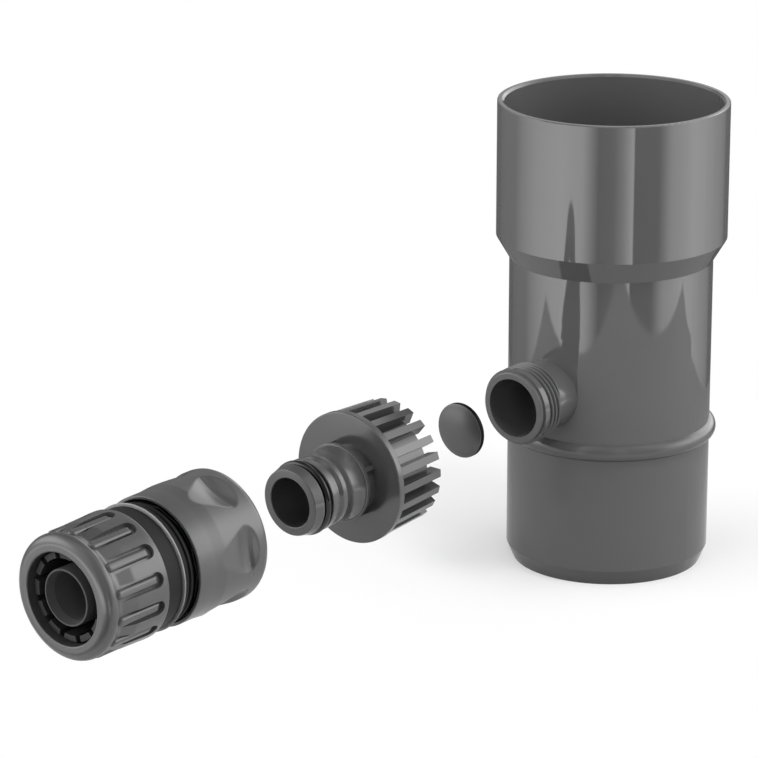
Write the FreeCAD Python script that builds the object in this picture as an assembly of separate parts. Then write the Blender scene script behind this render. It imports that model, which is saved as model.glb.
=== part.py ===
"""Downpipe rainwater diverter, drawn apart along its outlet axis.

The origin is the centre of the spigot's foot, +Z is up and the outlet points to -Y.
Every length is in millimetres, every angle in degrees.
Parts on the outlet are drawn along a local +Z and then laid on the falling outlet axis.
"""
import FreeCAD, Part
import math
import os

# Shared small sizes
edge_rounding = 0.3
bite = 0.5
overrun = 1.0

# Pipe body
pipe_outer_radius = 35.4
pipe_wall = 3.0
foot_radius = 33.1
foot_chamfer_height = 5.4
socket_bore_radius = 37.7
socket_wall = 2.4
cone_foot_height = 109.4
cone_height = 7.9
socket_depth = 46.5
socket_lead_in = 0.8
ledge_rise = 1.2
rim_rounding = 0.4
ledge_width = 1.8
bead_height = 48.6
bead_projection = 2.3
bead_half_height = 3.0
seat_width = 1.9
seat_height = 2.4

# Outlet axis and spout
outlet_height = 68.7
outlet_fall = 2.4
spout_mouth = 53.1
spout_bore_radius = 10.3
spout_root_radius = 12.2
thread_crest_radius = 13.5
pilot_radius = 13.4
pilot_start = 49.4
pilot_end = 51.7
lip_radius = 12.6
lip_rounding = 0.5

# Collecting trough
trough_fit = 0.2
trough_floor_drop = 0.6
trough_floor = 2.0
weir_radius = 23.0
weir_wall = 2.0
weir_height = 27.0
weir_foot_rounding = 0.8
weir_top_rounding = 0.9

# Closing disc
disc_face = 82.3
disc_radius = 9.5
disc_thickness = 2.6
disc_dome = 0.6
disc_face_rounding = 1.0

# Adaptor, measured forward from its flange face
flange_face = 137.5
flange_radius = 22.3
flange_rounding = 0.35
flange_rim = 2.4
cup_outer_radius = 17.2
cup_length = 19.6
cup_floor = 4.2
thread_clearance = 0.5
fin_count = 22
fin_width = 2.6
fin_sink = 0.6
fin_front_radius = 22.1
fin_rear_radius = 21.0
fin_length = 21.7
fin_phase = 90.0
neck_radius = 11.4
collar_radius = 13.3
collar_gap = 4.2
collar_thickness = 1.7
gusset_width = 1.6
gusset_phase = 60.0
gusset_count = 4
bell_skirt_radius = 12.7
bell_waist = 9.8
bell_waist_radius = 10.8
bell_waist_rounding = 9.0
bell_radius = 11.9
bell_top = 13.6
bell_shoulder = 15.4
bell_rounding = 1.0
claw_groove_start = 16.6
claw_groove_radius = 11.0
second_ring_start = 18.3
second_ring_radius = 12.2
seal_groove_start = 20.8
seal_groove_radius = 10.0
front_ring_start = 24.6
front_ring_radius = 12.0
nipple_length = 28.4
nipple_tip_radius = 11.1
nipple_bore_radius = 8.3
seal_thickness = 2.5
seal_gap = 0.05
washer_thickness = 3.2
washer_bore_radius = 9.8
washer_fit = 0.2

# Hose connector, measured from the coupling end of its sleeve
sleeve_end = 198.6
sleeve_length = 31.0
sleeve_front_wall = 1.2
sleeve_flare = 0.4
sleeve_flare_start = 19.5
sleeve_flare_end = 24.0
sleeve_end_rounding = 2.4
sleeve_running_gap = 0.5
spring_room = 1.8
sleeve_step = 23.4
sleeve_recess = 3.4
sleeve_recess_width = 0.5
dimple_count = 6
dimple_phase = 22.5
dimple_start = 4.0
dimple_deepest = 7.6
dimple_end = 21.5
dimple_depth = 2.4
dimple_heel_rounding = 1.6
dimple_wheel_radius = 36.0
barrel_start = 1.2
barrel_wall = 5.05
socket_radius = 12.75
socket_floor = 19.6
socket_entry = 0.6
water_bore_radius = 7.9
ring_seat_depth = 2.3
ring_fit = 0.3
ring_thickness = 1.8
spring_seat_step = 0.2
spring_wire_radius = 0.5
spring_turns = 4
spring_chords = 14
spring_wire_sides = 8
spring_gap = 0.1
band_start = 32.6
band_length = 4.4
band_fit = 0.25
band_groove_depth = 0.6
band_groove_slope = 0.3
hub_step = 0.5
hub_end = 53.4
hub_thread_fit = 0.3
stop_ring_thickness = 0.6
stop_ring_radius = 20.9
slip_ring_radius = 20.0
hub_fit = 0.2
axial_gap = 0.1
barb_radius = 9.25
barb_tip = 68.0
barb_tip_flare = 0.75
barb_flare_depth = 2.9
barb_tip_rounding = 0.25
claw_window_start = 6.5
claw_window_length = 5.0
claw_window_width = 9.0
claw_fit = 0.25
claw_tip_gap = 0.1
claw_sink = 0.4
claw_count = 3
claw_tooth = 1.4
claw_spring_sink = 0.7
claw_spring_wire_radius = 0.5
claw_spring_fit = 0.15
collet_base = 3.0
collet_fit = 0.3
finger_count = 12
finger_inner_radius = 12.4
finger_fit = 0.55
finger_gap = 2.0
finger_end = 67.2

# Hose nut
nut_rear = 44.2
nut_front = 69.9
nut_rear_radius = 21.1
nut_rear_rounding = 0.8
nut_shoulder_radius = 20.4
nut_shoulder_rounding = 3.3
nut_shoulder_start = 66.2
nut_body_taper = 0.35
nut_body_end = 57.6
nut_body_rounding = 5.0
nut_waist_radius = 19.3
nut_waist = 63.6
nut_waist_rounding = 3.2
nut_opening_radius = 15.05
nut_bore_radius = 16.9
nut_edge_rounding = 0.4
nut_step_rounding = 1.6
nut_cone_start = 57.5
nut_cone_end = 66.0
rib_count = 14
rib_width = 3.1
rib_top_radius = 20.7
rib_start = 48.2
rib_end = 65.4
rib_back_rounding = 1.1
recess_width = 5.0
recess_start = 46.4
recess_floor_rise = 0.2

# Values worked out from the ones above
origin = FreeCAD.Vector(0, 0, 0)
up = FreeCAD.Vector(0, 0, 1)
pipe_bore_radius = pipe_outer_radius - pipe_wall
socket_radius_outside = socket_bore_radius + socket_wall
cone_top_height = cone_foot_height + cone_height
ledge_height = cone_top_height + ledge_rise
body_height = ledge_height + socket_depth
fall_sine = math.sin(math.radians(outlet_fall))
fall_cosine = math.cos(math.radians(outlet_fall))
spout_floor_height = outlet_height - pipe_outer_radius * fall_sine - spout_bore_radius
trough_floor_height = spout_floor_height - trough_floor_drop
seat_top_height = trough_floor_height - trough_floor
cup_bore_radius = thread_crest_radius + thread_clearance
barrel_radius = socket_radius + barrel_wall
sleeve_bore_radius = barrel_radius + sleeve_running_gap
sleeve_recess_radius = sleeve_bore_radius + sleeve_recess_width
sleeve_front_bore_radius = sleeve_bore_radius + spring_room
sleeve_front_radius = sleeve_front_bore_radius + sleeve_front_wall
sleeve_end_radius = sleeve_front_radius + sleeve_flare
ring_seat_radius = barrel_radius - ring_seat_depth
ring_outer_radius = sleeve_recess_radius - ring_fit
spring_seat_radius = barrel_radius - spring_seat_step
band_radius = sleeve_front_bore_radius - band_fit
thread_hub_radius = nut_bore_radius - hub_thread_fit
hub_radius = thread_hub_radius + hub_step
claw_outer_radius = barrel_radius - claw_sink
claw_spring_radius = barrel_radius - claw_spring_sink
claw_tip_radius = socket_radius + claw_tip_gap
collet_outer_radius = thread_hub_radius - collet_fit
finger_outer_radius = nut_opening_radius - finger_fit


def point(radius, height):
    return FreeCAD.Vector(radius, 0, height)


def outline(corners):
    """Face in the XZ plane; each corner is (radius, height) or (radius, height, rounding)."""
    count = len(corners)
    joins = []
    for index in range(count):
        here = point(corners[index][0], corners[index][1])
        rounding = corners[index][2] if len(corners[index]) > 2 else 0
        if not rounding:
            joins.append((here, None, here))
            continue
        last = corners[index - 1]
        following = corners[(index + 1) % count]
        back = (point(last[0], last[1]) - here).normalize()
        ahead = (point(following[0], following[1]) - here).normalize()
        half = back.getAngle(ahead) / 2
        inward = (back + ahead).normalize()
        centre = here + inward * (rounding / math.sin(half))
        reach = rounding / math.tan(half)
        joins.append((here + back * reach, centre - inward * rounding, here + ahead * reach))
    edges = []
    for index in range(count):
        start, middle, end = joins[index]
        if middle is not None:
            edges.append(Part.Arc(start, middle, end).toShape())
        next_start = joins[(index + 1) % count][0]
        if end.distanceToPoint(next_start) > 1e-6:
            edges.append(Part.LineSegment(end, next_start).toShape())
    return Part.Face(Part.Wire(edges))


def turned(corners):
    return outline(corners).revolve(origin, up, 360)


def tube(outer, inner, bottom, top, rounding=0):
    return turned([
        (inner, bottom),
        (outer, bottom, rounding),
        (outer, top, rounding),
        (inner, top),
    ])


def around(shape, count, phase):
    """Copies of a shape turned about the local axis, first one at the phase from upright."""
    copies = []
    for index in range(count):
        copy = shape.copy()
        copy.rotate(origin, up, -(phase + index * 360.0 / count))
        copies.append(copy)
    return copies


def on_outlet(shape, station=0.0):
    """Lay a shape drawn along local +Z on the falling outlet axis."""
    turn = FreeCAD.Rotation(FreeCAD.Vector(1, 0, 0), 90 + outlet_fall)
    base = FreeCAD.Vector(0, -fall_cosine * station, outlet_height - fall_sine * station)
    placed = shape.copy()
    placed.Placement = FreeCAD.Placement(base, turn).multiply(placed.Placement)
    return placed


def block(width, low, high, bottom, top):
    """Box centred on the upright plane, from one radius to another."""
    return Part.makeBox(width, high - low, top - bottom, FreeCAD.Vector(-width / 2, low, bottom))


def stop_bead():
    """Low rounded ring round the pipe, which the lower pipe's rim stops against."""
    root = pipe_outer_radius - pipe_wall / 2
    foot = bead_height - bead_half_height
    top = bead_height + bead_half_height
    rounded = Part.Arc(
        point(pipe_outer_radius, foot),
        point(pipe_outer_radius + bead_projection, bead_height),
        point(pipe_outer_radius, top),
    ).toShape()
    rest = Part.makePolygon([
        point(pipe_outer_radius, top),
        point(root, top),
        point(root, foot),
        point(pipe_outer_radius, foot),
    ])
    return Part.Face(Part.Wire([rounded] + rest.Edges)).revolve(origin, up, 360)


def downpipe_body():
    outside = turned([
        (0, 0),
        (foot_radius, 0),
        (pipe_outer_radius, foot_chamfer_height),
        (pipe_outer_radius, cone_foot_height),
        (socket_radius_outside, cone_top_height),
        (socket_radius_outside, body_height, rim_rounding),
        (0, body_height),
    ]).fuse(stop_bead())
    ledge_radius = socket_bore_radius - ledge_width
    seat_radius = pipe_bore_radius - seat_width
    seat_foot_height = seat_top_height - seat_height
    inside = turned([
        (0, 0),
        (pipe_bore_radius, 0),
        (pipe_bore_radius, seat_foot_height - seat_width),
        (seat_radius, seat_foot_height),
        (seat_radius, seat_top_height),
        (pipe_bore_radius, seat_top_height),
        (pipe_bore_radius, cone_foot_height + socket_lead_in),
        (ledge_radius, ledge_height),
        (socket_bore_radius, ledge_height),
        (socket_bore_radius, body_height - socket_lead_in),
        (socket_bore_radius + socket_lead_in, body_height),
        (0, body_height),
    ])
    spout = turned([
        (0, pipe_bore_radius),
        (spout_root_radius, pipe_bore_radius),
        (spout_root_radius, pilot_start),
        (pilot_radius, pilot_start),
        (pilot_radius, pilot_end),
        (lip_radius, pilot_end),
        (lip_radius, spout_mouth, lip_rounding),
        (0, spout_mouth),
    ])
    bore = Part.makeCylinder(spout_bore_radius, spout_mouth)
    body = outside.fuse(on_outlet(spout)).cut(inside).cut(on_outlet(bore))
    return body.removeSplitter()


def collecting_trough():
    outer = pipe_bore_radius - trough_fit
    weir_outer = weir_radius + weir_wall
    weir_top = trough_floor_height + weir_height
    return turned([
        (weir_radius, seat_top_height),
        (outer, seat_top_height),
        (outer, trough_floor_height),
        (weir_outer, trough_floor_height, weir_foot_rounding),
        (weir_outer, weir_top, weir_top_rounding),
        (weir_radius, weir_top, weir_top_rounding),
    ])


def closing_disc():
    """Disc with a slightly domed outer face and a well rounded edge."""
    face = turned([
        (0, 0),
        (disc_radius, 0, edge_rounding),
        (disc_radius, disc_thickness - disc_dome, disc_face_rounding),
        (0, disc_thickness),
    ])
    return on_outlet(face, disc_face - disc_thickness)


def adaptor_fins():
    fin_root = cup_outer_radius - fin_sink
    edge = Part.makePolygon([
        FreeCAD.Vector(-fin_width / 2, fin_root, -fin_length),
        FreeCAD.Vector(-fin_width / 2, fin_rear_radius, -fin_length),
        FreeCAD.Vector(-fin_width / 2, fin_front_radius, -flange_rim / 2),
        FreeCAD.Vector(-fin_width / 2, fin_root, -flange_rim / 2),
        FreeCAD.Vector(-fin_width / 2, fin_root, -fin_length),
    ])
    fin = Part.Face(edge).extrude(FreeCAD.Vector(fin_width, 0, 0))
    return around(fin, fin_count, fin_phase)


def adaptor_body():
    collar_front = collar_gap + collar_thickness
    body = turned([
        (nipple_bore_radius, -cup_floor),
        (cup_bore_radius, -cup_floor),
        (cup_bore_radius, -cup_length),
        (cup_outer_radius, -cup_length, edge_rounding),
        (cup_outer_radius, -flange_rim),
        (flange_radius, -flange_rim, edge_rounding),
        (flange_radius, 0, flange_rounding),
        (neck_radius, 0),
        (neck_radius, collar_gap),
        (collar_radius, collar_gap, edge_rounding),
        (collar_radius, collar_front, edge_rounding),
        (bell_skirt_radius, collar_front),
        (bell_waist_radius, bell_waist, bell_waist_rounding),
        (bell_radius, bell_top, bell_rounding),
        (bell_radius, bell_shoulder, bell_rounding),
        (claw_groove_radius, claw_groove_start),
        (claw_groove_radius, second_ring_start),
        (second_ring_radius, second_ring_start, edge_rounding),
        (second_ring_radius, seal_groove_start, edge_rounding),
        (seal_groove_radius, seal_groove_start),
        (seal_groove_radius, front_ring_start),
        (front_ring_radius, front_ring_start, edge_rounding),
        (nipple_tip_radius, nipple_length, edge_rounding),
        (nipple_bore_radius, nipple_length, edge_rounding),
    ])
    gusset = block(
        gusset_width,
        neck_radius - bite,
        collar_radius - edge_rounding,
        -flange_rim / 2,
        collar_gap + bite,
    )
    pieces = adaptor_fins() + around(gusset, gusset_count, gusset_phase)
    return on_outlet(body.fuse(pieces).removeSplitter(), flange_face)


def ring_seal(mean_radius, wire_radius, height):
    return Part.makeTorus(mean_radius, wire_radius, FreeCAD.Vector(0, 0, height))


def nipple_o_ring():
    middle = (seal_groove_start + front_ring_start) / 2
    radius = seal_thickness / 2
    return on_outlet(ring_seal(seal_groove_radius + seal_gap + radius, radius, middle), flange_face)


def flat_washer():
    washer = tube(
        cup_bore_radius - washer_fit,
        washer_bore_radius,
        -cup_floor - washer_thickness,
        -cup_floor,
    )
    return on_outlet(washer, flange_face)


def dimple_tool():
    """Wheel above the sleeve, whose rim slopes down to a short steep heel."""
    axis = sleeve_end_radius - dimple_depth + dimple_wheel_radius
    wheel = turned([
        (0, dimple_start),
        (axis - sleeve_end_radius, dimple_start),
        (dimple_wheel_radius, dimple_deepest, dimple_heel_rounding),
        (axis - sleeve_front_radius, dimple_end),
        (0, dimple_end),
    ])
    wheel.translate(FreeCAD.Vector(0, axis, 0))
    return wheel


def release_sleeve():
    sleeve = turned([
        (sleeve_recess_radius, 0, edge_rounding),
        (sleeve_end_radius, 0, sleeve_end_rounding),
        (sleeve_end_radius, sleeve_flare_start),
        (sleeve_front_radius, sleeve_flare_end),
        (sleeve_front_radius, sleeve_length, edge_rounding),
        (sleeve_front_bore_radius, sleeve_length, edge_rounding),
        (sleeve_front_bore_radius, sleeve_step),
        (sleeve_bore_radius, sleeve_step),
        (sleeve_bore_radius, sleeve_recess),
        (sleeve_recess_radius, sleeve_recess),
    ])
    sleeve = sleeve.cut(around(dimple_tool(), dimple_count, dimple_phase))
    return on_outlet(sleeve, sleeve_end)


def connector_body():
    groove = band_length / 4
    floor = band_radius - band_groove_depth
    ring_seat_end = barrel_start + ring_thickness
    claw_middle = claw_window_start + claw_window_length / 2
    claw_groove = claw_spring_wire_radius + claw_spring_fit
    groove_floor = claw_spring_radius - claw_groove
    body = turned([
        (socket_radius + socket_entry, barrel_start),
        (ring_seat_radius, barrel_start),
        (ring_seat_radius, ring_seat_end),
        (barrel_radius, ring_seat_end),
        (barrel_radius, claw_middle - claw_groove),
        (groove_floor, claw_middle - claw_groove),
        (groove_floor, claw_middle + claw_groove),
        (barrel_radius, claw_middle + claw_groove),
        (barrel_radius, sleeve_step - spring_gap),
        (spring_seat_radius, sleeve_step - spring_gap),
        (spring_seat_radius, band_start),
        (band_radius, band_start, edge_rounding),
        (band_radius, band_start + groove),
        (floor, band_start + groove + band_groove_slope),
        (floor, band_start + groove * 2 - band_groove_slope),
        (band_radius, band_start + groove * 2),
        (band_radius, band_start + band_length, edge_rounding),
        (hub_radius, band_start + band_length),
        (hub_radius, nut_rear),
        (thread_hub_radius, nut_rear),
        (thread_hub_radius, hub_end),
        (barb_radius, hub_end),
        (barb_radius, barb_tip, barb_tip_rounding),
        (water_bore_radius + barb_tip_flare, barb_tip),
        (water_bore_radius, barb_tip - barb_flare_depth),
        (water_bore_radius, socket_floor),
        (socket_radius, socket_floor),
        (socket_radius, barrel_start + socket_entry),
    ])
    window = block(
        claw_window_width,
        socket_radius - overrun,
        barrel_radius + overrun,
        claw_window_start,
        claw_window_start + claw_window_length,
    )
    return on_outlet(body.cut(around(window, claw_count, 0)), sleeve_end)


def retaining_ring():
    ring = tube(
        ring_outer_radius,
        ring_seat_radius + axial_gap,
        barrel_start,
        barrel_start + ring_thickness,
        edge_rounding,
    )
    return on_outlet(ring, sleeve_end)


def sleeve_spring():
    """Coil of eight-sided wire in straight chords, from the sleeve's step to the band."""
    bottom = sleeve_step + spring_gap + spring_wire_radius
    top = band_start - spring_gap - spring_wire_radius
    mean_radius = (spring_seat_radius + sleeve_front_bore_radius) / 2
    chords = spring_turns * spring_chords
    points = []
    for index in range(chords + 1):
        angle = 2 * math.pi * index / spring_chords
        height = bottom + (top - bottom) * index / chords
        points.append(FreeCAD.Vector(
            mean_radius * math.cos(angle), mean_radius * math.sin(angle), height
        ))
    corners = []
    for index in range(spring_wire_sides + 1):
        angle = 2 * math.pi * index / spring_wire_sides
        corners.append(points[0] + FreeCAD.Vector(
            spring_wire_radius * math.cos(angle), 0, spring_wire_radius * math.sin(angle)
        ))
    path = Part.makePolygon(points)
    coil = path.makePipeShell([Part.makePolygon(corners)], True, True, 1)
    return on_outlet(coil, sleeve_end)


def locking_claws():
    width = claw_window_width - 2 * claw_fit
    bottom = claw_window_start + claw_fit
    top = claw_window_start + claw_window_length - claw_fit
    middle = (bottom + top) / 2
    tooth = block(width, claw_tip_radius, claw_outer_radius, middle - claw_tooth, middle)
    back = block(width, claw_tip_radius + claw_tooth, claw_outer_radius, bottom, top)
    groove_radius = claw_spring_wire_radius + claw_spring_fit
    groove = tube(
        claw_outer_radius + overrun,
        claw_spring_radius - groove_radius,
        middle - groove_radius,
        middle + groove_radius,
    )
    claw = tooth.fuse(back).common(Part.makeCylinder(claw_outer_radius, top)).cut(groove)
    return [on_outlet(copy, sleeve_end) for copy in around(claw, claw_count, 0)]


def claw_spring():
    middle = claw_window_start + claw_window_length / 2
    return on_outlet(ring_seal(claw_spring_radius, claw_spring_wire_radius, middle), sleeve_end)


def stop_ring():
    start = band_start + band_length
    end = start + stop_ring_thickness
    ring = tube(stop_ring_radius, hub_radius + hub_fit, start, end, edge_rounding)
    return on_outlet(ring, sleeve_end)


def nut_slip_ring():
    start = band_start + band_length + stop_ring_thickness + axial_gap
    ring = tube(slip_ring_radius, hub_radius + hub_fit, start, nut_rear, edge_rounding)
    return on_outlet(ring, sleeve_end)


def clamping_collet():
    base_end = hub_end + collet_base
    base = tube(collet_outer_radius, finger_inner_radius, hub_end, base_end)
    fingers = tube(finger_outer_radius, finger_inner_radius, base_end, finger_end, edge_rounding)
    slot = block(
        finger_gap,
        finger_inner_radius - overrun,
        finger_outer_radius + overrun,
        base_end + overrun,
        nut_front,
    )
    half_step = 180.0 / finger_count
    collet = base.fuse(fingers).cut(around(slot, finger_count, half_step))
    return on_outlet(collet, sleeve_end)


def tongue(width, round_end, flat_end, low, high):
    """Upright bar along the axis, from one radius to another, with one half-round end."""
    radius = width / 2
    way = math.copysign(radius, flat_end - round_end)
    left = FreeCAD.Vector(-radius, low, round_end + way)
    right = FreeCAD.Vector(radius, low, round_end + way)
    far_right = FreeCAD.Vector(radius, low, flat_end)
    far_left = FreeCAD.Vector(-radius, low, flat_end)
    face = Part.Face(Part.Wire([
        Part.Arc(left, FreeCAD.Vector(0, low, round_end), right).toShape(),
        Part.LineSegment(right, far_right).toShape(),
        Part.LineSegment(far_right, far_left).toShape(),
        Part.LineSegment(far_left, left).toShape(),
    ]))
    return face.extrude(FreeCAD.Vector(0, high - low, 0))


def nut_recess_tool():
    """Long slot with a half-round rear end, its floor a little above the waist."""
    outer = nut_rear_radius + overrun
    floor = nut_waist_radius + recess_floor_rise
    slot = tongue(recess_width, recess_start, nut_waist, floor - overrun, outer)
    return slot.common(tube(outer, floor, recess_start - overrun, nut_front))


def nut_rib():
    """Grip rib with a half-round front end and a rounded back."""
    rib = tongue(rib_width, rib_end, rib_start, nut_waist_radius - bite, rib_top_radius)
    top = [edge for edge in rib.Edges if edge.BoundBox.YMin > rib_top_radius - bite]
    return rib.makeFillet(rib_back_rounding, top)


def hose_nut():
    nut = turned([
        (nut_bore_radius, nut_rear, nut_edge_rounding),
        (nut_rear_radius, nut_rear, nut_rear_rounding),
        (nut_rear_radius, recess_start),
        (nut_rear_radius - nut_body_taper, nut_body_end, nut_body_rounding),
        (nut_waist_radius, nut_waist, nut_waist_rounding),
        (nut_shoulder_radius, nut_shoulder_start, nut_step_rounding),
        (nut_shoulder_radius, nut_front, nut_shoulder_rounding),
        (nut_opening_radius, nut_front, nut_edge_rounding),
        (nut_opening_radius, nut_cone_end),
        (nut_bore_radius, nut_cone_start),
    ])
    nut = nut.cut(around(nut_recess_tool(), rib_count, 0)).fuse(around(nut_rib(), rib_count, 0))
    return on_outlet(nut.removeSplitter(), sleeve_end)


parts = {
    "downpipe_body": downpipe_body(),
    "collecting_trough": collecting_trough(),
    "closing_disc": closing_disc(),
    "adaptor_body": adaptor_body(),
    "nipple_o_ring": nipple_o_ring(),
    "flat_washer": flat_washer(),
    "connector_body": connector_body(),
    "retaining_ring": retaining_ring(),
    "release_sleeve": release_sleeve(),
    "sleeve_spring": sleeve_spring(),
    "claw_spring": claw_spring(),
    "stop_ring": stop_ring(),
    "nut_slip_ring": nut_slip_ring(),
    "clamping_collet": clamping_collet(),
    "hose_nut": hose_nut(),
}
for number, claw in enumerate(locking_claws(), 1):
    parts["locking_claw_" + str(number)] = claw

os.makedirs("parts", exist_ok=True)
for name, shape in parts.items():
    print(name, shape.ShapeType, len(shape.Solids), shape.isValid(), round(shape.Volume, 1))
    shape.exportStep("parts/" + name + ".step")
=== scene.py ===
import bmesh
import bpy
import math
from mathutils import Matrix, Vector


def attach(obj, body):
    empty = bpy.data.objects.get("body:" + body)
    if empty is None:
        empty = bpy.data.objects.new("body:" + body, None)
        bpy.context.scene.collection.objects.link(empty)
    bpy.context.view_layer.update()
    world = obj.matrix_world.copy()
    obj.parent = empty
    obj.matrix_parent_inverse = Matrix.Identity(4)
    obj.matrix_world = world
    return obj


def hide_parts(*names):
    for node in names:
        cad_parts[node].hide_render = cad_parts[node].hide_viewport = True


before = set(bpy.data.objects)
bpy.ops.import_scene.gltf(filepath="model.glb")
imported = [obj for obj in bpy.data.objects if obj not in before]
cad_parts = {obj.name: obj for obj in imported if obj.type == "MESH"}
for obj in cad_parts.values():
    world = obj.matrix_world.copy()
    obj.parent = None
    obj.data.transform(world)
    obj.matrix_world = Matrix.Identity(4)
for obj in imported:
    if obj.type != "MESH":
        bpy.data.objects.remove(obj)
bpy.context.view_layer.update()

# Metres, apart from the outlines of lathed pieces and the grain of materials, which are in millimetres
MM = 0.001

# Outlet axis, as the part's source sets it, and the level direction over which it falls
OUTLET_HEIGHT = 68.7 * MM
OUTLET_FALL = math.radians(2.4)
OUTWARD = (0, -math.cos(OUTLET_FALL), -math.sin(OUTLET_FALL))
LEVEL_OUTWARD = (0, -1, 0)

# Spout thread
THREAD_PITCH = 1.8 * MM
THREAD_ROOT_RADIUS = 12.2 * MM
THREAD_CREST_RADIUS = 13.5 * MM
THREAD_CREST_WIDTH = 0.45 * MM
THREAD_FOOT_WIDTH = 1.55 * MM
THREAD_CREST_ROUNDING = THREAD_CREST_WIDTH * 0.4
THREAD_ROUNDING_SEGMENTS = 3
THREAD_BITE = 0.25 * MM
THREAD_START = 42.2 * MM
THREAD_TURNS = 4
THREAD_STEPS = 96
THREAD_RUN_OUT_STEPS = 14
THREAD_RUN_OUT_HEIGHT = 0.1
THREAD_SMOOTH_ANGLE = math.radians(40)

# Lathed pieces
LATHE_ROUNDING_SEGMENTS = 5
LATHE_SAME_CORNER = 0.01 * MM
LATHE_WELD = 0.002 * MM
LATHE_SMOOTH_ANGLE = math.radians(28)

# Closing disc, its outline in millimetres
DISC_BACK = 79.7 * MM
# Painted shade over the disc's rim and back: how far it reaches, its blend, and the sheen on the rim and on
# the face
DISC_SHADED_RIM = 1.5 * MM
DISC_RIM_BLEND = 0.1 * MM
DISC_RIM_SHEEN = 0.03
DISC_FACE_SHEEN = 0.5
DISC_RADIUS = 9.5
DISC_THICKNESS = 2.6
DISC_DOME = 0.9
DISC_EDGE_DROP = DISC_DOME * 1.1
DISC_FRONT_ROUNDING = 0.35
DISC_BACK_ROUNDING = 0.2
DISC_RINGS = 8
DISC_STEPS = 128

# Hose connector: where the painted shade over its hub ends and its grey tail begins
TAIL_START = 252.0 * MM
TAIL_BLEND = 0.5 * MM

# Release sleeve, in millimetres from its rear end, with the part's own radii
SLEEVE_START = 198.6 * MM
SLEEVE_LENGTH = 31.0
SLEEVE_REAR_RADIUS = 21.7
SLEEVE_FRONT_RADIUS = 21.3
SLEEVE_FLARE_START = 19.5
SLEEVE_FLARE_END = 24.0
SLEEVE_BORE_RADIUS = 18.3
SLEEVE_RECESS_RADIUS = 18.8
SLEEVE_FRONT_BORE_RADIUS = 20.1
SLEEVE_STEP = 23.4
SLEEVE_RECESS = 3.4
SLEEVE_REAR_ROUNDING = 2.4
SLEEVE_FRONT_ROUNDING = 0.3
SLEEVE_GRID = 0.35
SLEEVE_STEPS = 288

# Finger dimples, in millimetres: the radius of the cutter that gives their shape, and its greatest depth
DIMPLE_COUNT = 6
DIMPLE_PHASE = math.radians(24.5)
DIMPLE_SWEEP = 36.0
DIMPLE_DEPTH = 2.4
# Half their width at stations along the sleeve: an egg with its blunt end rearward
DIMPLE_HALF_WIDTHS = (
    (4.6, 0.0), (5.0, 2.4), (5.6, 4.6), (6.5, 6.5), (7.7, 7.7), (9.3, 8.1), (11.0, 7.6),
    (13.0, 6.6), (16.0, 5.0), (19.0, 3.5), (21.2, 2.3), (22.4, 1.3), (23.1, 0.0),
)

# Mottle of the mouldings: its size in millimetres, and the part of the noise that it spans
MOTTLE_SIZE = 30.0
MOTTLE_SPAN = (0.3, 0.7)
MOTTLE_DETAIL = 3.0
GRAIN_DETAIL = 2.0

# Settings of shader nodes
DOT = {"operation": "DOT_PRODUCT"}
TIMES = {"operation": "MULTIPLY"}
TIMES_AND_PLUS = {"operation": "MULTIPLY_ADD"}
EASED = {"interpolation_type": "SMOOTHSTEP"}
OF_COLOURS = {"data_type": "RGBA"}
OF_NUMBERS = {"data_type": "FLOAT"}


def linear(code):
    """Linear colour from an sRGB hex code."""
    values = []
    for start in (0, 2, 4):
        share = int(code[start:start + 2], 16) / 255
        values.append(share / 12.92 if share <= 0.04045 else ((share + 0.055) / 1.055) ** 2.4)
    return (*values, 1.0)


def add_node(tree, kind, settings=None, stops=(), **inputs):
    """Add a shader node; an input that is a socket is linked, any other set, and stops fill its ramp."""
    node = tree.nodes.new("ShaderNode" + kind)
    for name, value in (settings or {}).items():
        setattr(node, name, value)
    for index, (position, colour) in enumerate(stops):
        elements = node.color_ramp.elements
        stop = elements[index] if index < 2 else elements.new(position)
        stop.position = position
        stop.color = colour
    for name, value in inputs.items():
        socket = node.inputs[int(name[1:])] if name[0] == "_" else node.inputs[name.replace("_", " ")]
        if isinstance(value, bpy.types.NodeSocket):
            tree.links.new(value, socket)
        else:
            socket.default_value = value
    return node


def span(start, end, first, last):
    """Inputs that map start to end onto first to last."""
    return {"_1": start, "_2": end, "_3": first, "_4": last}


def per_metre(size):
    """Texture scale whose features are about this many millimetres across."""
    return 1000 / size


def moulded(name, colours, roughness, ior=1.5, grain=None):
    """Moulding with a faint mottle in its colour and gloss, and with any grain's size and depth in mm."""
    material = bpy.data.materials.new(name)
    material.use_nodes = True
    tree = material.node_tree
    shader = tree.nodes["Principled BSDF"]
    place = add_node(tree, "TexCoord").outputs["Object"]
    mottle = add_node(
        tree, "TexNoise", Vector=place, Scale=per_metre(MOTTLE_SIZE), Detail=MOTTLE_DETAIL
    ).outputs["Fac"]
    tint = add_node(tree, "ValToRGB", stops=zip(MOTTLE_SPAN, map(linear, colours)), _0=mottle)
    tree.links.new(tint.outputs["Color"], shader.inputs["Base Color"])
    gloss = add_node(tree, "MapRange", _0=mottle, **span(*MOTTLE_SPAN, *roughness))
    tree.links.new(gloss.outputs["Result"], shader.inputs["Roughness"])
    if grain:
        size, depth = grain
        pattern = add_node(tree, "TexNoise", Vector=place, Scale=per_metre(size), Detail=GRAIN_DETAIL)
        relief = add_node(
            tree, "Bump", Height=pattern.outputs["Fac"], Distance=depth * MM, Strength=1.0
        )
        tree.links.new(relief.outputs["Normal"], shader.inputs["Normal"])
    shader.inputs["IOR"].default_value = ior
    return material


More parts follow.
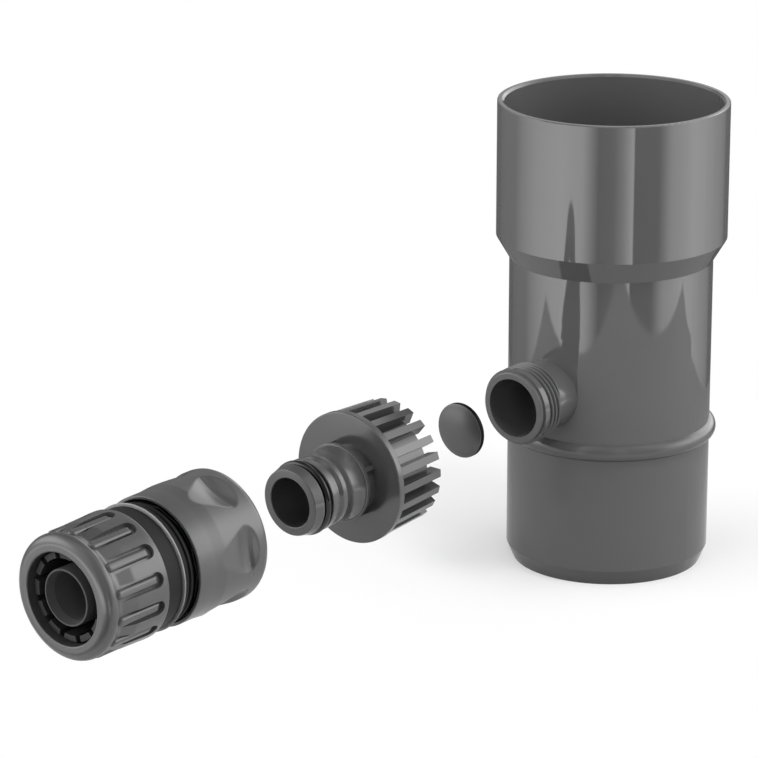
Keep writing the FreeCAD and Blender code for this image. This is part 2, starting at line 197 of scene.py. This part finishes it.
def paint_back_shade(material, direction, edge, blend, colour):
    """Paint shade over a moulding's back up to an edge along a direction; returns a socket, 0 there and 1
    past it.
    """
    tree = material.node_tree
    place = add_node(tree, "TexCoord").outputs["Object"]
    station = add_node(tree, "VectorMath", DOT, _0=place, _1=direction).outputs["Value"]
    front = add_node(
        tree, "MapRange", _0=station, **span(edge, edge + blend, 0.0, 1.0)
    ).outputs["Result"]
    tint = tree.nodes["Color Ramp"].outputs["Color"]
    # Painted shade in the given colour up to the edge, the moulding's own tint past it
    shade_over_tint = add_node(tree, "Mix", OF_COLOURS, _0=front, _6=linear(colour), _7=tint)
    tree.links.new(shade_over_tint.outputs[2], tree.nodes["Principled BSDF"].inputs["Base Color"])
    return front


# The IORs start from 1.5, and are set higher or lower where the photo's sheen is brighter or duller

# PVC-U, injected into a polished mould: a deep grey that mirrors the studio sharply, faintly rippled
gloss_pvc = moulded("polished_pvc", ("585858", "5b5b5b"), (0.03, 0.06), grain=(2.0, 0.0004))
# Polypropylene from a finely eroded mould: grey under a broad satin sheen, its grain too fine to show
PP_GREYS = ("434343", "474747")
SATIN_ROUGHNESS = (0.27, 0.31)
satin_pp = moulded("satin_polypropylene", PP_GREYS, SATIN_ROUGHNESS, ior=1.7)
# The adaptor's polypropylene comes from a smoother mould, so its nipple shows clear streaks of light
smooth_pp = moulded("smooth_polypropylene", PP_GREYS, (0.15, 0.19), ior=1.7)
# The closing disc is of the satin polypropylene; painted shade makes its rim and back black, with next to
# no sheen
rim_shaded_pp = moulded("polypropylene_with_painted_rim_shade", PP_GREYS, SATIN_ROUGHNESS, ior=1.7)
rim_end = DISC_BACK + DISC_SHADED_RIM - OUTLET_HEIGHT * math.sin(OUTLET_FALL)
disc_face = paint_back_shade(rim_shaded_pp, OUTWARD, rim_end, DISC_RIM_BLEND, "0a0a0a")
sheen = add_node(
    rim_shaded_pp.node_tree, "MapRange", _0=disc_face, **span(0.0, 1.0, DISC_RIM_SHEEN, DISC_FACE_SHEEN)
).outputs["Result"]
disc_shader = rim_shaded_pp.node_tree.nodes["Principled BSDF"]
rim_shaded_pp.node_tree.links.new(sheen, disc_shader.inputs["Specular IOR Level"])
# Acetal inner parts, moulded and left plain: near black with a low sheen
dark_acetal = moulded("dark_acetal", ("1a1a1a", "1e1e1e"), (0.5, 0.6), ior=1.3)
# The collet's fingers are a little lighter grey
lighter_acetal = moulded("lighter_acetal", ("292929", "2e2e2e"), (0.5, 0.6), ior=1.4)
# The connector's body is grey; painted shade darkens it as far as its hub, and its bare tail stays grey
inner_acetal = moulded("grey_acetal", ("4f4f4f", "535353"), (0.5, 0.6), ior=1.3)
paint_back_shade(inner_acetal, LEVEL_OUTWARD, TAIL_START, TAIL_BLEND, "121212")
# Polyethylene stop ring from a plain mould: pale grey with a soft sheen
pale_pe = moulded("pale_polyethylene", ("8a8a8a", "929292"), (0.3, 0.4), grain=(0.8, 0.001))
# Nitrile rubber, moulded, and oiled for the fit: black with clear highlights
oiled_nitrile = moulded("oiled_nitrile_rubber", ("0c0c0c", "111111"), (0.08, 0.14), grain=(0.5, 0.001))
# Spring wire, drawn: dark metal, its darkness painted shade for the gaps it sits in, with a dull streak of
# light along its turns
spring_wire = moulded("spring_wire_in_painted_shade", ("1c1c1c", "242424"), (0.35, 0.45), grain=(0.4, 0.002))
spring_wire.node_tree.nodes["Principled BSDF"].inputs["Metallic"].default_value = 1.0

node_finish = {
    "downpipe_body": gloss_pvc,
    "collecting_trough": gloss_pvc,
    "closing_disc": rim_shaded_pp,
    "adaptor_body": smooth_pp,
    "nipple_o_ring": oiled_nitrile,
    "flat_washer": oiled_nitrile,
    "connector_body": inner_acetal,
    "retaining_ring": dark_acetal,
    "release_sleeve": satin_pp,
    "sleeve_spring": spring_wire,
    "claw_spring": spring_wire,
    "stop_ring": pale_pe,
    "nut_slip_ring": dark_acetal,
    "clamping_collet": lighter_acetal,
    "hose_nut": satin_pp,
    "locking_claw_1": dark_acetal,
    "locking_claw_2": dark_acetal,
    "locking_claw_3": dark_acetal,
}
for node_name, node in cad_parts.items():
    node.data.materials.clear()
    node.data.materials.append(node_finish[node_name])


def on_outlet(station):
    """Matrix that lays a piece drawn along +Z on the outlet axis, with its foot at a station."""
    foot = (0, OUTWARD[1] * station, OUTLET_HEIGHT + OUTWARD[2] * station)
    return Matrix.Translation(foot) @ Matrix.Rotation(math.radians(90) + OUTLET_FALL, 4, "X")


def finish_piece(piece, body, material, place):
    """Put a piece in its place in the mesh itself, and give it its body and finish."""
    piece.data.transform(place)
    piece.data.materials.clear()
    piece.data.materials.append(material)
    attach(piece, body)


def choose(piece, test):
    """In edit mode, select only the points that pass the test."""
    bpy.ops.mesh.select_mode(type="VERT")
    bpy.ops.mesh.select_all(action="DESELECT")
    mesh = bmesh.from_edit_mesh(piece.data)
    for point in mesh.verts:
        point.select = bool(test(point.co))
    mesh.select_flush(True)
    bmesh.update_edit_mesh(piece.data)


def near(point, corner):
    """Whether a point of an outline in the XZ plane is the corner (radius, height[, rounding])."""
    return (point - Vector((corner[0] * MM, 0, corner[1] * MM))).length < LATHE_SAME_CORNER


def lathe(name, corners, steps):
    """Spin a chain of corners (radius, height[, rounding]) in millimetres about the local axis."""
    bpy.ops.object.select_all(action="DESELECT")
    bpy.ops.mesh.primitive_plane_add(size=MM)
    piece = bpy.context.object
    piece.name = name
    bpy.ops.object.mode_set(mode="EDIT")
    bpy.ops.mesh.select_mode(type="VERT")
    bpy.ops.mesh.select_all(action="SELECT")
    bpy.ops.mesh.merge(type="CENTER")
    place = Vector((corners[0][0] * MM, 0, corners[0][1] * MM))
    bpy.ops.transform.translate(value=place)
    for corner in corners[1:]:
        following = Vector((corner[0] * MM, 0, corner[1] * MM))
        bpy.ops.mesh.extrude_region_move(TRANSFORM_OT_translate={"value": following - place})
        place = following
    for corner in corners:
        if len(corner) > 2:
            choose(piece, lambda point: near(point, corner))
            bpy.ops.mesh.bevel(
                offset=corner[2] * MM, offset_type="OFFSET", segments=LATHE_ROUNDING_SEGMENTS,
                affect="VERTICES",
            )
    bpy.ops.mesh.select_all(action="SELECT")
    bpy.ops.mesh.spin(steps=steps, angle=math.tau, center=(0, 0, 0), axis=(0, 0, 1))
    bpy.ops.mesh.select_all(action="SELECT")
    bpy.ops.mesh.remove_doubles(threshold=LATHE_WELD)
    bpy.ops.mesh.normals_make_consistent(inside=False)
    bpy.ops.object.mode_set(mode="OBJECT")
    bpy.ops.object.shade_smooth_by_angle(angle=LATHE_SMOOTH_ANGLE)
    return piece


def draw_tooth(name):
    """Outline of the thread's tooth in the XZ plane, its foot narrowed to a rounded crest."""
    bpy.ops.object.select_all(action="DESELECT")
    bpy.ops.mesh.primitive_plane_add(size=MM, rotation=(math.radians(90), 0, 0))
    tooth = bpy.context.object
    tooth.name = name
    bpy.ops.object.transform_apply(location=True, rotation=True, scale=True)
    bpy.ops.object.mode_set(mode="EDIT")
    choose(tooth, lambda point: point.x > 0)
    bpy.ops.transform.resize(value=(1, 1, THREAD_CREST_WIDTH / MM))
    choose(tooth, lambda point: point.x < 0)
    bpy.ops.transform.resize(value=(1, 1, THREAD_FOOT_WIDTH / MM))
    bpy.ops.mesh.select_all(action="SELECT")
    depth = THREAD_CREST_RADIUS - THREAD_ROOT_RADIUS + THREAD_BITE
    bpy.ops.transform.resize(value=(depth / MM, 1, 1))
    bpy.ops.transform.translate(value=(THREAD_CREST_RADIUS - depth / 2, 0, 0))
    choose(tooth, lambda point: point.x > THREAD_ROOT_RADIUS)
    bpy.ops.mesh.bevel(
        offset=THREAD_CREST_ROUNDING, segments=THREAD_ROUNDING_SEGMENTS, affect="VERTICES"
    )
    bpy.ops.mesh.select_all(action="SELECT")
    bpy.ops.mesh.delete(type="ONLY_FACE")
    bpy.ops.object.mode_set(mode="OBJECT")
    return tooth


def run_out(tooth, corners):
    """Let the tooth sink into the spout at both ends; each step of it has this many corners."""
    last = THREAD_STEPS * THREAD_TURNS
    foot = THREAD_ROOT_RADIUS - THREAD_BITE
    for vertex in tooth.data.vertices:
        step = vertex.index // corners
        share = min(1.0, step / THREAD_RUN_OUT_STEPS, (last - step) / THREAD_RUN_OUT_STEPS)
        share = share * share * (3 - 2 * share)
        height = THREAD_RUN_OUT_HEIGHT + (1 - THREAD_RUN_OUT_HEIGHT) * share
        radius = math.hypot(vertex.co.x, vertex.co.y)
        shrink = (foot + (radius - foot) * height) / radius
        vertex.co.x *= shrink
        vertex.co.y *= shrink


def spout_thread():
    """Right-handed outlet thread: one tooth screwed up the spout, both ends run out into it."""
    tooth = draw_tooth("spout_thread")
    corners = len(tooth.data.vertices)
    screw = tooth.modifiers.new("screw", "SCREW")
    screw.axis = "Z"
    screw.angle = -math.tau
    screw.screw_offset = -THREAD_PITCH
    screw.iterations = THREAD_TURNS
    screw.steps = THREAD_STEPS
    screw.render_steps = THREAD_STEPS
    bpy.ops.object.modifier_apply(modifier=screw.name)
    run_out(tooth, corners)
    bpy.ops.object.mode_set(mode="EDIT")
    bpy.ops.mesh.select_mode(type="EDGE")
    bpy.ops.mesh.select_all(action="DESELECT")
    bpy.ops.mesh.select_non_manifold()
    bpy.ops.mesh.fill()
    bpy.ops.mesh.select_all(action="SELECT")
    bpy.ops.mesh.normals_make_consistent(inside=False)
    bpy.ops.object.mode_set(mode="OBJECT")
    bpy.ops.object.shade_smooth_by_angle(angle=THREAD_SMOOTH_ANGLE)
    front = THREAD_START + THREAD_PITCH * THREAD_TURNS
    finish_piece(tooth, "pipe", gloss_pvc, on_outlet(front))


def closing_disc():
    """Disc with a domed face, a rounded front edge and a lightly rounded back edge."""
    outline = []
    for ring in range(DISC_RINGS):
        share = ring / DISC_RINGS
        outline.append((DISC_RADIUS * ring / DISC_RINGS, DISC_THICKNESS - DISC_DOME * share ** 2))
    outline += [
        (DISC_RADIUS, DISC_THICKNESS - DISC_EDGE_DROP, DISC_FRONT_ROUNDING),
        (DISC_RADIUS, 0, DISC_BACK_ROUNDING),
        (0, 0),
    ]
    piece = lathe("closing_disc_domed", outline, DISC_STEPS)
    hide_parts("closing_disc")
    finish_piece(piece, "disc", rim_shaded_pp, on_outlet(DISC_BACK))


def between(place, points):
    """Value at a place along a chain of (place, value) points, 0 beyond its ends."""
    for (start, first), (end, second) in zip(points, points[1:]):
        if start <= place <= end:
            return first + (second - first) * (place - start) / (end - start)
    return 0.0


def dimpled_radius(angle, station):
    """Radius left by a large round cutter from outside, sunk as deep as the dimple is wide there."""
    half_width = between(station, DIMPLE_HALF_WIDTHS)
    pitch = math.tau / DIMPLE_COUNT
    aside = (angle - DIMPLE_PHASE + pitch / 2) % pitch - pitch / 2
    depth = half_width ** 2 * (1 / SLEEVE_REAR_RADIUS + 1 / DIMPLE_SWEEP) / 2
    middle = SLEEVE_REAR_RADIUS - DIMPLE_DEPTH + DIMPLE_SWEEP
    sweep = DIMPLE_SWEEP - DIMPLE_DEPTH + depth
    under_root = sweep ** 2 - (middle * math.sin(aside)) ** 2
    if half_width == 0 or under_root <= 0:
        return SLEEVE_REAR_RADIUS
    return middle * math.cos(aside) - math.sqrt(under_root)


def release_sleeve():
    """Smooth sleeve with six soft finger dimples pressed into its rounded rear half."""
    outline = [(SLEEVE_RECESS_RADIUS, 0.0), (SLEEVE_REAR_RADIUS, 0.0, SLEEVE_REAR_ROUNDING)]
    station = SLEEVE_REAR_ROUNDING + SLEEVE_GRID
    while station < SLEEVE_FLARE_END:
        share = max(0.0, (station - SLEEVE_FLARE_START) / (SLEEVE_FLARE_END - SLEEVE_FLARE_START))
        flare = (SLEEVE_REAR_RADIUS - SLEEVE_FRONT_RADIUS) * share
        outline.append((SLEEVE_REAR_RADIUS - flare, station))
        station += SLEEVE_GRID
    outline += [
        (SLEEVE_FRONT_RADIUS, SLEEVE_FLARE_END),
        (SLEEVE_FRONT_RADIUS, SLEEVE_LENGTH, SLEEVE_FRONT_ROUNDING),
        (SLEEVE_FRONT_BORE_RADIUS, SLEEVE_LENGTH, SLEEVE_FRONT_ROUNDING),
        (SLEEVE_FRONT_BORE_RADIUS, SLEEVE_STEP),
        (SLEEVE_BORE_RADIUS, SLEEVE_STEP),
        (SLEEVE_BORE_RADIUS, SLEEVE_RECESS),
        (SLEEVE_RECESS_RADIUS, SLEEVE_RECESS),
        (SLEEVE_RECESS_RADIUS, 0.0),
    ]
    piece = lathe("release_sleeve_dimpled", outline, SLEEVE_STEPS)
    for vertex in piece.data.vertices:
        radius = math.hypot(vertex.co.x, vertex.co.y) / MM
        limit = dimpled_radius(math.atan2(vertex.co.x, vertex.co.y), vertex.co.z / MM)
        if radius > limit:
            vertex.co.x *= limit / radius
            vertex.co.y *= limit / radius
    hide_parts("release_sleeve")
    finish_piece(piece, "sleeve", satin_pp, on_outlet(SLEEVE_START))


spout_thread()
closing_disc()
release_sleeve()

# Studio: a small white table top among tall lit screens, with a dark ceiling

# Level directions from the pipe, towards the camera and to the viewer's right
TOWARD_CAMERA = Vector((0.659, -0.752, 0))
TO_THE_RIGHT = Vector((0.752, 0.659, 0))

# Table top: its size and place, and the middle of the shadow on it
TABLE_LENGTH = 0.565
TABLE_WIDTH = 0.525
TABLE_PLACE = (0.052, -0.043, 0)
SHADOW_PLACE = (-0.033, 0.038, 0)
TABLE_ROUGHNESS = 0.9
# Its colour as it is, and a dimmer colour as it lights the part from below, a painted shade on its bounce
TABLE_COLOURS = ("f2f2f2", "606060")
# Share of its plain white that glows onto the part as painted light, where the camera sees all of it
TABLE_GLOW = 0.12
# Start, end, first and last: plain white by metres from the shadow's middle, and the brightness that
# the part mirrors by metres towards the camera, a painted falloff of light, dark behind and bright in front
SHADOW_FADE = (0.045, 0.16, 0.35, 1.0)
MIRRORED_TABLE = (-0.2, 0.08, 0.1, 0.85)

# Brightness of the screens by degrees to the viewer's right of the camera
SCREENS = (
    (-180, 0.0), (-153, 0.0), (-115, 0.4), (-82, 3.1), (-56, 4.2), (-33, 3.7), (-17, 0.0),
    (-2, 0.3), (7, 1.7), (17, 4.2), (18, 0.0), (43, 0.0), (57, 2.7), (84, 3.4), (118, 1.0),
    (145, 0.0), (180, 0.0),
)
SCREEN_PEAK = 4.5
SCREEN_GLOOM = 0.12
# Start, end, first and last, by height: a ray's direction from -1, straight down, to 1, straight up
SCREEN_FOOT = (-0.46, -0.34, 0.0, 1.0)
MIRRORED_SCREEN = (-0.2, -0.06, SCREEN_PEAK, SCREEN_PEAK * 0.18)
SOFT_SCREEN = (0.35, 0.8, SCREEN_PEAK, 0.0)
# Soft light is stronger from above and from a little to the right
LIT_SIDE = TO_THE_RIGHT * 0.15 + Vector((0, 0, 1))
SOFT_ABOVE = (-0.3, 0.4, 0.1, 1.05)

# A glow above the horizon, to the left, the right and behind, by degrees as the screens are
GLOW = (
    (-180, 0.3), (-145, 0.0), (-115, 2.4), (-85, 2.4), (-60, 0.0), (55, 0.0), (90, 2.6), (150, 2.6),
    (180, 0.3),
)
GLOW_PEAK = 2.6
SOFT_GLOW_PEAK = GLOW_PEAK * 0.4
# Its share by height, here from 0, straight down, to 1, straight up
GLOW_RISE = ((0.45, 0.0), (0.58, 1.0), (0.76, 1.0), (0.88, 0.05))

# Camera and lamps
CAMERA_PLACE = (0.8185, -1.0560, 0.4816)
CAMERA_TURN = (math.radians(72.63), 0, math.radians(41.24))
CAMERA_LENS = 189.23
CAMERA_SENSOR = 36
LAMP_TARGET = Vector((0, 0, 0.1))


def table_paint():
    """Paint that the camera sees as plain white, apart from the shadow round the pipe's foot; other rays
    see painted light and shade.
    """
    material = bpy.data.materials.new("studio_table_paint")
    material.use_nodes = True
    tree = material.node_tree
    shader = tree.nodes["Principled BSDF"]
    shader.inputs["Roughness"].default_value = TABLE_ROUGHNESS
    rays = add_node(tree, "LightPath")
    spot = add_node(tree, "TexCoord").outputs["Object"]
    nearness = add_node(tree, "VectorMath", DOT, _0=spot, _1=TOWARD_CAMERA).outputs["Value"]
    # Painted falloff of light: the table as the part mirrors it darkens away from the camera
    front = add_node(tree, "MapRange", EASED, _0=nearness, **span(*MIRRORED_TABLE))
    own, spread = map(linear, TABLE_COLOURS)
    paint = add_node(tree, "Mix", OF_COLOURS, _0=rays.outputs["Is Diffuse Ray"], _6=own, _7=spread)
    paint = add_node(
        tree, "Mix", OF_COLOURS,
        _0=rays.outputs["Is Glossy Ray"], _6=paint.outputs[2], _7=front.outputs["Result"],
    )
    tree.links.new(paint.outputs[2], shader.inputs["Base Color"])
    distance = add_node(
        tree, "VectorMath", {"operation": "DISTANCE"}, _0=spot, _1=SHADOW_PLACE
    ).outputs["Value"]
    fade = add_node(tree, "MapRange", EASED, _0=distance, **span(*SHADOW_FADE))
    amount = add_node(
        tree, "Mix", OF_NUMBERS,
        _0=rays.outputs["Is Camera Ray"], _2=TABLE_GLOW, _3=fade.outputs["Result"],
    )
    white = add_node(tree, "Emission", Color=(1, 1, 1, 1), Strength=1.0)
    blend = add_node(
        tree, "MixShader", _0=amount.outputs[0], _1=shader.outputs["BSDF"], _2=white.outputs[0]
    )
    tree.links.new(blend.outputs[0], tree.nodes["Material Output"].inputs["Surface"])
    return material


def studio_table():
    """Small table top under the part."""
    bpy.ops.object.select_all(action="DESELECT")
    bpy.ops.mesh.primitive_plane_add(size=1, location=TABLE_PLACE)
    floor = bpy.context.object
    floor.scale = (TABLE_LENGTH, TABLE_WIDTH, 1)
    bpy.ops.object.transform_apply(location=True, rotation=True, scale=True)
    floor.name = "studio_table"
    floor.data.materials.append(table_paint())


def round_the_studio(places, peak):
    """Stops of a colour ramp from (degrees, brightness) pairs, as a share of the peak."""
    for degrees, brightness in places:
        share = brightness / peak
        yield (degrees + 180) / 360, (share, share, share, 1)


def studio_world():
    """Screens and glow that light and mirror in the part, and plain white for the camera."""
    world = bpy.data.worlds.new("studio_world")
    world.use_nodes = True
    bpy.context.scene.world = world
    tree = world.node_tree
    rays = add_node(tree, "LightPath")
    soft = rays.outputs["Is Diffuse Ray"]
    direction = add_node(tree, "TexCoord").outputs["Generated"]
    height = add_node(tree, "SeparateXYZ", _0=direction).outputs["Z"]
    rightward = add_node(tree, "VectorMath", DOT, _0=direction, _1=TO_THE_RIGHT).outputs["Value"]
    frontward = add_node(tree, "VectorMath", DOT, _0=direction, _1=TOWARD_CAMERA).outputs["Value"]
    turn = add_node(tree, "Math", {"operation": "ARCTAN2"}, _0=rightward, _1=frontward)
    turned = add_node(
        tree, "MapRange", _0=turn.outputs[0], **span(-math.pi, math.pi, 0.0, 1.0)
    ).outputs["Result"]
    raised = add_node(tree, "MapRange", _0=height, **span(-1.0, 1.0, 0.0, 1.0)).outputs["Result"]

    screens = add_node(tree, "ValToRGB", stops=round_the_studio(SCREENS, SCREEN_PEAK), _0=turned)
    mirrored = add_node(tree, "MapRange", EASED, _0=height, **span(*MIRRORED_SCREEN))
    spread = add_node(tree, "MapRange", EASED, _0=height, **span(*SOFT_SCREEN))
    lit_side = add_node(tree, "VectorMath", DOT, _0=direction, _1=LIT_SIDE).outputs["Value"]
    above = add_node(tree, "MapRange", _0=lit_side, **span(*SOFT_ABOVE))
    spread = add_node(tree, "Math", TIMES, _0=spread.outputs["Result"], _1=above.outputs["Result"])
    reach = add_node(
        tree, "Mix", OF_NUMBERS, _0=soft, _2=mirrored.outputs["Result"], _3=spread.outputs[0]
    )
    foot = add_node(tree, "MapRange", EASED, _0=height, **span(*SCREEN_FOOT))
    reach = add_node(tree, "Math", TIMES, _0=reach.outputs[0], _1=foot.outputs["Result"])

    glow = add_node(tree, "ValToRGB", stops=round_the_studio(GLOW, GLOW_PEAK), _0=turned)
    rise_stops = [(place, (share, share, share, 1)) for place, share in GLOW_RISE]
    glow_rise = add_node(tree, "ValToRGB", stops=rise_stops, _0=raised)
    glow = add_node(tree, "Math", TIMES, _0=glow.outputs["Color"], _1=glow_rise.outputs["Color"])
    glow_peak = add_node(tree, "Mix", OF_NUMBERS, _0=soft, _2=GLOW_PEAK, _3=SOFT_GLOW_PEAK)
    glow = add_node(
        tree, "Math", TIMES_AND_PLUS,
        _0=glow.outputs[0], _1=glow_peak.outputs[0], _2=SCREEN_GLOOM,
    )
    lit = add_node(
        tree, "Math", TIMES_AND_PLUS,
        _0=screens.outputs["Color"], _1=reach.outputs[0], _2=glow.outputs[0],
    )
    plain = add_node(
        tree, "Math", {"operation": "MAXIMUM"},
        _0=rays.outputs["Is Camera Ray"], _1=rays.outputs["Is Transmission Ray"],
    )
    strength = add_node(tree, "Mix", OF_NUMBERS, _0=plain.outputs[0], _2=lit.outputs[0], _3=1.0)
    background = tree.nodes["Background"]
    background.inputs["Color"].default_value = (1, 1, 1, 1)
    tree.links.new(strength.outputs[0], background.inputs["Strength"])


def light_card(name, turn, reach, height, size, watts):
    """Square lamp turned by degrees to the viewer's right of the camera, aimed at the pipe."""
    angle = math.radians(turn)
    place = (TOWARD_CAMERA * math.cos(angle) + TO_THE_RIGHT * math.sin(angle)) * reach
    place.z = height
    lamp = bpy.data.lights.new(name, "AREA")
    lamp.shape = "SQUARE"
    lamp.size = size
    lamp.energy = watts
    card = bpy.data.objects.new(name, lamp)
    bpy.context.scene.collection.objects.link(card)
    card.location = place
    card.rotation_mode = "QUATERNION"
    card.rotation_quaternion = (LAMP_TARGET - place).to_track_quat("-Z", "Y")
    card.visible_glossy = False


def photo_camera():
    """Camera at the photo's viewing angle."""
    bpy.ops.object.camera_add(location=CAMERA_PLACE, rotation=CAMERA_TURN)
    camera = bpy.context.object
    camera.data.lens = CAMERA_LENS
    camera.data.sensor_width = CAMERA_SENSOR
    bpy.context.scene.camera = camera


studio_table()
studio_world()
light_card("side_card", turn=40, reach=0.9, height=1.7, size=0.5, watts=12)
light_card("top_card", turn=0, reach=0.1, height=2.0, size=0.8, watts=8)
photo_camera()
bpy.context.scene.view_settings.view_transform = "Standard"
